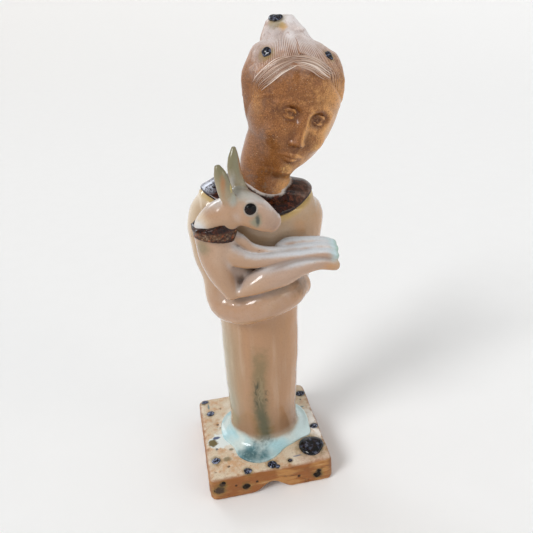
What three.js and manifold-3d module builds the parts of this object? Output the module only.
// A hand-built stoneware sculpture: a slim standing figure with an inclined head and a topknot, carrying a
// long-eared animal on its folded arms, on a square slab with an arched notch in the foot of its front edge.
// Millimetres, +Z up. The figure faces -Y, and the origin is at the middle of the slab's underside.
import * as THREE from "three";
import { mergeVertices } from "three/addons/utils/BufferGeometryUtils.js";
import Module from "manifold-3d";

const wasm = await Module();
wasm.setup();

// Driving dimensions
const SLAB = { side: 90, thickness: 20, cornerRadius: 5, edgeRadius: 1.6 };
const NOTCH = { halfWidth: 16, height: 8.8, crown: 5, depth: 18 };
const GLAZE_DISC = { x: 32.8, y: -28, radius: 8.5, rise: 1.3 };
const JOINT_GAP = 0.3;
const FOOT_Z = SLAB.thickness + JOINT_GAP;
const GLAZE_POOL = {
  x: 3,
  rise: 1.3,
  // [degrees from +X, radius] of the lobes of its edge
  lobes: [
    [-172, 31.5], [-150, 30.5], [-130, 36.5], [-108, 38], [-90, 34.5], [-70, 28.3], [-54, 28.5], [-40, 31.3],
    [-27, 36.5], [-8, 35], [24, 36.2], [55, 34], [90, 33], [120, 32], [150, 33],
  ],
};
const COLLAR = { thickness: 2.2, apex: [10, -0.8, 185], slopeX: 0.8, slopeY: 0.7, height: 45 };
const EYE_BEAD = { middle: [-3.5, -47.8, 216.1], radius: 3.1, depth: 1.9 };

const across = { x: new THREE.Vector3(1, 0, 0), y: new THREE.Vector3(0, 1, 0), z: new THREE.Vector3(0, 0, 1) };
const degrees = THREE.MathUtils.degToRad;

// A limb is a row of oval stations: [x, y, z, half width along `side`, half width the other way]. Between two
// stations it has `steps` rings of `points` corners, and each end is a dome that stands out by `cap`.
const TRUNK = {
  side: across.x, points: 24, steps: 2, startCap: 0, cap: 1.5,
  stations: [
    [3.2, 0, FOOT_Z, 28.5, 24.5],
    [3.2, 0, 36, 25.2, 21.5],
    [3.5, 0, 60, 26, 22],
    [4.3, 0, 92, 27.3, 22.5],
    [4.8, 0, 122, 27.3, 22.5],
    [5.5, 0.5, 148, 30, 23.5],
    [7, 1, 172, 39.5, 25.3],
    [7, 1.5, 190, 44, 25.8],
    [7.1, 1.7, 201.5, 42.3, 24],
    [7.6, 2, 209, 36, 19],
    [8.3, 2, 213.8, 28, 15],
    [9, 2, 216.6, 21, 12],
  ],
};
const SHOULDERS = {
  side: across.y, points: 18, steps: 2, cap: 11.5,
  stations: [
    [-19.5, 2, 206, 14, 10],
    [0, 2, 208.2, 15, 10],
    [20, 2, 207.2, 15, 10],
    [35.3, 2, 203.6, 13.5, 10],
  ],
};
const NECK = {
  side: across.x, points: 20, steps: 2, cap: 4,
  stations: [
    [12, 2, 206, 17.5, 16],
    [13.6, 0, 216, 16, 15.5],
    [15, -1, 230, 15.8, 15],
    [20, -3, 246, 15.5, 15],
  ],
};
const HAIR = {
  side: across.x, points: 24, steps: 2, startCap: 5, cap: 2.5,
  stations: [
    [22.5, -1, 234, 13, 13],
    [27, -2, 243, 20.6, 18.8],
    [29.4, -3, 252, 25.5, 21.7],
    [31.2, -5, 264.7, 28.5, 24.1],
    [32.4, -5, 273.7, 30.4, 26.1],
    [29.5, -5, 284.8, 27.6, 24.1],
    [28.2, -4.5, 293.9, 20.5, 18.2],
    [28, -4, 299.1, 14.4, 13.4],
    [27.5, -3.5, 302.4, 12.4, 11.8],
    [26.7, -3, 308.6, 8.4, 7.9],
  ],
};
const RIGHT_ARM = {
  side: new THREE.Vector3(0, -0.6, 0.8), points: 16, steps: 2, cap: 8,
  stations: [
    [-25, -1, 192, 11.5, 11.4],
    [-24.8, -6, 176.5, 11.2, 11.2],
    [-21, -12, 162, 11, 11],
    [-19.4, -17.5, 145.8, 11.2, 11.2],
    [-9.5, -26, 143.6, 11, 11],
    [4, -31.2, 148.6, 11, 11.4],
    [19, -27, 150.2, 10.4, 10.4],
    [29, -15, 149.5, 9.6, 9.6],
  ],
};
const LEFT_ARM = {
  side: across.x, points: 16, steps: 2, cap: 7,
  stations: [
    [38, 1, 192, 12, 12.5],
    [36.6, 0, 177, 11.6, 12],
    [32, -3, 162, 10.8, 11],
    [27, -8, 147.5, 10.2, 10.4],
    [20, -18, 148, 9.5, 9.5],
  ],
};

// The carried animal: its body hangs down the figure's right side, its legs lie to the left
const ANIMAL_BODY = {
  side: across.x, points: 16, steps: 2, cap: 5,
  stations: [
    [-16.3, -32, 161, 6, 9],
    [-20, -32.5, 168.7, 7, 10],
    [-22.1, -32.5, 175.7, 8.3, 11],
    [-23, -32, 182.7, 10, 11.8],
    [-23.2, -31.5, 190, 11, 11.8],
    [-23.1, -31, 196.6, 11.2, 11],
  ],
};
const ANIMAL_NECK = {
  side: across.x, points: 16, steps: 2, cap: 3,
  stations: [
    [-23.3, -31, 194.6, 11.2, 10.6],
    [-22.4, -31.5, 201.6, 11, 10.4],
    [-18.4, -34, 208.4, 10.6, 9.8],
    [-12.5, -37, 213.3, 10, 9],
  ],
};
const NECKBAND = {
  side: across.x, points: 16, steps: 2, cap: 0.6,
  stations: [
    [-23.4, -31.2, 196, 11.9, 11.2],
    [-23, -31.4, 199, 12.5, 11.8],
    [-22.6, -31.6, 202, 12, 11.3],
  ],
};
const ANIMAL_HEAD = {
  side: across.z, points: 16, steps: 2, cap: 5,
  stations: [
    [-12, -37.5, 216, 9.4, 8.2],
    [-8, -38.5, 215.6, 10, 8.6],
    [-2.5, -40, 213, 9.8, 8.8],
    [2, -40.5, 210, 9, 8.4],
    [6, -40.5, 207, 7.9, 7.4],
    [9.3, -40, 204.6, 6.5, 6.3],
  ],
};
const NEAR_EAR = {
  side: across.x, points: 10, steps: 2, cap: 1.5,
  stations: [
    [-12, -43, 216.5, 4, 3],
    [-15.2, -45, 224, 4.2, 2.8],
    [-17, -45, 231, 3.9, 2.6],
    [-18.1, -44, 236.5, 3.4, 2.2],
    [-19, -43, 240, 2, 1.6],
  ],
};
const FAR_EAR = {
  side: across.x, points: 10, steps: 2, cap: 1.5,
  stations: [
    [-5.5, -35, 221, 4, 3],
    [-8, -33, 229, 4, 2.8],
    [-9, -32, 236, 3.8, 2.6],
    [-8.6, -31, 241.5, 3.1, 2.2],
    [-8, -30, 246, 1.6, 1.6],
  ],
};
const LEGS = [
  {
    side: across.z, points: 10, steps: 2, cap: 2.6,
    stations: [
      [-20.5, -34, 190, 7.5, 7.5],
      [-15, -37, 186, 6.4, 6.6],
      [-7, -39, 182.5, 5, 5.2],
      [4, -38.5, 180.6, 4.1, 4.4],
      [20, -36.5, 179.8, 3.6, 3.8],
      [40.5, -34, 178.4, 3.3, 3.5],
      [49.5, -33, 174.8, 2.9, 3],
    ],
  },
  {
    side: across.z, points: 10, steps: 2, cap: 2.6,
    stations: [
      [-16, -32, 196.5, 4.8, 4.8],
      [-9, -35, 194, 3.7, 3.7],
      [-2, -35, 187.5, 3.3, 3.5],
      [11.5, -33.5, 183, 3.2, 3.5],
      [27.5, -32.5, 182.8, 3.2, 3.5],
      [40.5, -31, 181.3, 3.2, 3.4],
      [50, -30, 178.2, 2.9, 3],
    ],
  },
  {
    side: across.z, points: 12, steps: 2, cap: 3,
    stations: [
      [-16, -32, 161, 5, 7.5],
      [-9.5, -34.5, 161.3, 4.2, 7.5],
      [-3.5, -36.5, 164.4, 6.4, 8],
      [6, -37.7, 168.5, 8.4, 8.4],
      [16, -37.8, 170.7, 8.3, 7.6],
      [26, -37, 172.9, 6.3, 6.2],
      [38, -35.4, 172.8, 4.7, 4.9],
      [49, -34.5, 169.4, 3.4, 3.7],
    ],
  },
  {
    side: across.z, points: 10, steps: 2, cap: 2.6,
    stations: [
      [10.5, -27.5, 176.5, 4, 4],
      [18.5, -30, 185.6, 3.2, 3.6],
      [28, -29.5, 186, 3.2, 3.5],
      [41, -28, 183.8, 3.1, 3.4],
      [49.5, -27, 180.7, 2.8, 3],
    ],
  },
];

// The face has a frame of its own: +x to the viewer's right, -y forwards, +z to the crown, and its middle
// between the eyes and the mouth. The thirds from hairline to brow, to nose base, to chin are equal.
const FACE_TILT = { forwards: 14, sideways: 18, turned: 8, middle: [29.5, -13, 255.5] };
const FACE = {
  side: across.x, points: 20, steps: 2, cap: 2.5,
  stations: [
    [0, -6, -28, 8, 7.5],
    [0, -4.5, -22, 13.5, 11.5],
    [0, -2.5, -14, 17.5, 14.2],
    [0, -1, -4, 20.4, 15.8],
    [0, 0, 7, 21.6, 16.2],
    [0, 1, 17, 20.5, 14.6],
    [0, 3.5, 25, 16, 10.5],
  ],
};
const NOSE = {
  side: across.x, points: 10, steps: 1, cap: 1.6,
  stations: [
    [0, -14.2, 13, 2.2, 2],
    [0, -16, 6, 2.1, 2.3],
    [0, -17.8, -2, 2.6, 2.9],
    [0, -18.4, -6.6, 3.7, 3.3],
  ],
};
const UPPER_LIP = {
  side: across.z, points: 8, steps: 1, cap: 0.8,
  stations: [
    [-6.4, -14.3, -15.6, 0.9, 1.2],
    [-2.4, -15.7, -15, 1.5, 1.6],
    [0, -15.9, -15.3, 1.4, 1.6],
    [2.4, -15.7, -15, 1.5, 1.6],
    [6.4, -14.3, -15.6, 0.9, 1.2],
  ],
};
const LOWER_LIP = {
  side: across.z, points: 8, steps: 2, cap: 0.8,
  stations: [
    [-5, -14.1, -17, 0.9, 1.2],
    [0, -15.2, -17.9, 1.8, 1.9],
    [5, -14.1, -17, 0.9, 1.2],
  ],
};
const FACE_EYES = { x: 9.2, z: 7.6, socketY: -19.2, socket: [6.4, 4.6, 5], lidY: -13.2, lid: [5.2, 4.2, 3.3] };

// Raised waves of hair that frame the forehead from temple to temple
const HAIR_WAVE = {
  side: across.z, points: 8, steps: 2, cap: 1.5,
  stations: [
    [10, -12, 268, 2, 1.6],
    [10.2, -20.4, 277, 2.4, 1.7],
    [14.6, -24.4, 282.2, 2.5, 1.8],
    [21.5, -26.6, 286.6, 2.5, 1.8],
    [30.3, -27.5, 288.3, 2.5, 1.8],
    [38.5, -27.9, 286.2, 2.4, 1.8],
    [45.4, -26.2, 281, 2.1, 1.6],
    [50, -20, 276, 1.8, 1.5],
  ],
};

function limb({ side, points, steps, cap, startCap = cap, stations }, swell = 0) {
  const curve = (corners) => new THREE.CatmullRomCurve3(corners, false, "catmullrom", 0.5);
  const centres = curve(stations.map(([x, y, z]) => new THREE.Vector3(x, y, z)));
  const widths = curve(stations.map(([, , , a, b]) => new THREE.Vector3(a + swell, b + swell, 0)));
  const capRings = 2;
  const rows = [];
  const addRing = (t, lift, shrink) => {
    const along = centres.getTangent(t);
    const first = side.clone().addScaledVector(along, -side.dot(along)).normalize();
    const second = along.clone().cross(first);
    const middle = centres.getPoint(t).addScaledVector(along, lift);
    const { x: a, y: b } = widths.getPoint(t);
    const corners = shrink ? points : 1;
    const ring = [];
    for (let i = 0; i < corners; i++) {
      const turn = (2 * Math.PI * i) / points;
      ring.push(
        middle.clone()
          .addScaledVector(first, a * shrink * Math.cos(turn))
          .addScaledVector(second, b * shrink * Math.sin(turn)),
      );
    }
    rows.push(ring);
  };
  for (let i = capRings; i > 0; i--) {
    const turn = (Math.PI / 2) * (i / capRings);
    addRing(0, -startCap * Math.sin(turn), i === capRings ? 0 : Math.cos(turn));
  }
  const last = steps * (stations.length - 1);
  for (let i = 0; i <= last; i++) addRing(i / last, 0, 1);
  for (let i = 1; i <= capRings; i++) {
    const turn = (Math.PI / 2) * (i / capRings);
    addRing(1, cap * Math.sin(turn), i === capRings ? 0 : Math.cos(turn));
  }
  return skin(rows, points);
}

// One closed surface over rings of corners, with a single point at each end
function skin(rows, points) {
  const starts = [];
  let count = 0;
  for (const ring of rows) {
    starts.push(count);
    count += ring.length;
  }
  const index = [];
  const corner = (row, i) => starts[row] + (rows[row].length === 1 ? 0 : i % points);
  for (let row = 0; row < rows.length - 1; row++) {
    for (let i = 0; i < points; i++) {
      const [a, b] = [corner(row, i), corner(row, i + 1)];
      const [c, d] = [corner(row + 1, i + 1), corner(row + 1, i)];
      if (a !== b) index.push(a, b, c);
      if (c !== d) index.push(a, c, d);
    }
  }
  const geometry = new THREE.BufferGeometry().setFromPoints(rows.flat());
  geometry.setIndex(index);
  return solid(geometry);
}

function solid(geometry) {
  geometry.deleteAttribute("normal");
  geometry.deleteAttribute("uv");
  const merged = mergeVertices(geometry, 1e-4);
  const mesh = new wasm.Mesh({
    numProp: 3,
    vertProperties: merged.attributes.position.array,
    triVerts: new Uint32Array(merged.index.array),
  });
  return new wasm.Manifold(mesh);
}

function join(shapes) {
  return shapes.reduce((whole, shape) => whole.add(shape));
}

// A squashed ball
function ball(middle, radii, detail = [12, 8]) {
  const geometry = new THREE.SphereGeometry(1, ...detail);
  geometry.scale(...radii).translate(...middle);
  return solid(geometry);
}

function face() {
  const { x, z, socketY, socket, lidY, lid } = FACE_EYES;
  const sockets = [-x, x].map((side) => ball([side, socketY, z], socket));
  const lids = [-x, x].map((side) => ball([side, lidY, z], lid));
  const mask = limb(FACE).subtract(join(sockets));
  const plain = join([mask, ...lids, limb(NOSE), limb(UPPER_LIP), limb(LOWER_LIP)]);
  const { forwards, sideways, turned, middle } = FACE_TILT;
  const pose = new THREE.Matrix4()
    .makeRotationZ(degrees(turned))
    .multiply(new THREE.Matrix4().makeRotationY(degrees(sideways)))
    .multiply(new THREE.Matrix4().makeRotationX(degrees(forwards)))
    .setPosition(...middle);
  return plain.transform(pose.elements);
}

// The yoke of the tunic, cut off below by a wide cone so that it dips at the front and the back
function collar() {
  const { thickness, apex, slopeX, slopeY, height } = COLLAR;
  const raised = join([limb(TRUNK, thickness), limb(SHOULDERS, thickness)]);
  const cutter = new THREE.ConeGeometry(1, 1, 32);
  cutter.rotateX(-Math.PI / 2).translate(0, 0, 0.5);
  cutter.scale(height / slopeX, height / slopeY, height).translate(...apex);
  return raised.intersect(solid(cutter));
}

function animal() {
  const parts = [ANIMAL_BODY, ANIMAL_NECK, NECKBAND, ANIMAL_HEAD, NEAR_EAR, FAR_EAR, ...LEGS];
  const { middle, radius, depth } = EYE_BEAD;
  return join([...parts.map((part) => limb(part)), ball(middle, [radius, depth, radius])]);
}

// The glaze ran off the foot and set as a thin pool with a wavy edge
function glazePool() {
  const { x, rise, lobes } = GLAZE_POOL;
  const edge = lobes.map(([turn, radius]) => {
    const angle = degrees(turn);
    return new THREE.Vector3(x + radius * Math.cos(angle), radius * Math.sin(angle), 0);
  });
  const outline = new THREE.CatmullRomCurve3(edge, true, "catmullrom", 0.5).getPoints(2 * lobes.length);
  const plan = new THREE.Shape(outline.slice(0, -1).map((corner) => new THREE.Vector2(corner.x, corner.y)));
  const geometry = new THREE.ExtrudeGeometry(plan, { depth: rise, bevelEnabled: false });
  geometry.translate(0, 0, FOOT_Z);
  return solid(geometry);
}

function figure() {
  const body = [TRUNK, SHOULDERS, NECK, RIGHT_ARM, LEFT_ARM, HAIR, HAIR_WAVE].map((part) => limb(part));
  return join([...body, collar(), face(), animal(), glazePool()]);
}

function baseSlab() {
  const half = SLAB.side / 2 - SLAB.edgeRadius;
  const corner = SLAB.cornerRadius - SLAB.edgeRadius;
  const inner = half - corner;
  const plan = new THREE.Shape();
  plan.absarc(inner, -inner, corner, -Math.PI / 2, 0);
  plan.absarc(inner, inner, corner, 0, Math.PI / 2);
  plan.absarc(-inner, inner, corner, Math.PI / 2, Math.PI);
  plan.absarc(-inner, -inner, corner, Math.PI, 1.5 * Math.PI);
  const block = new THREE.ExtrudeGeometry(plan, {
    depth: SLAB.thickness - 2 * SLAB.edgeRadius,
    bevelThickness: SLAB.edgeRadius,
    bevelSize: SLAB.edgeRadius,
    bevelSegments: 2,
    curveSegments: 4,
  });
  block.translate(0, 0, SLAB.edgeRadius);

  const { halfWidth, height, crown, depth } = NOTCH;
  const clearance = 2;
  const arch = new THREE.Shape();
  arch.moveTo(-halfWidth, -clearance);
  arch.lineTo(halfWidth, -clearance).lineTo(halfWidth, 0);
  arch.bezierCurveTo(halfWidth - crown, 0.5, crown, height, 0, height);
  arch.bezierCurveTo(-crown, height, -halfWidth + crown, 0.5, -halfWidth, 0);
  const cutter = new THREE.ExtrudeGeometry(arch, {
    depth: depth + clearance,
    bevelEnabled: false,
    curveSegments: 10,
  });
  cutter.rotateX(Math.PI / 2).translate(0, depth - SLAB.side / 2, 0);

  const { x, y, radius, rise } = GLAZE_DISC;
  const disc = ball([x, y, SLAB.thickness], [radius, radius, rise], [20, 6]);
  return solid(block).subtract(solid(cutter)).add(disc);
}

function meshOf(name, shape, { color, roughness }) {
  const { vertProperties, triVerts } = shape.getMesh();
  const geometry = new THREE.BufferGeometry();
  geometry.setAttribute("position", new THREE.BufferAttribute(vertProperties, 3));
  geometry.setIndex(new THREE.BufferAttribute(triVerts, 1));
  geometry.computeVertexNormals();
  const mesh = new THREE.Mesh(geometry, new THREE.MeshStandardMaterial({ color, roughness, metalness: 0 }));
  mesh.name = name;
  return mesh;
}

const sculpture = new THREE.Group();
sculpture.add(meshOf("figure", figure(), { color: 0xd6c9b6, roughness: 0.2 }));
sculpture.add(meshOf("base_slab", baseSlab(), { color: 0xc79a68, roughness: 0.7 }));
export default sculpture;
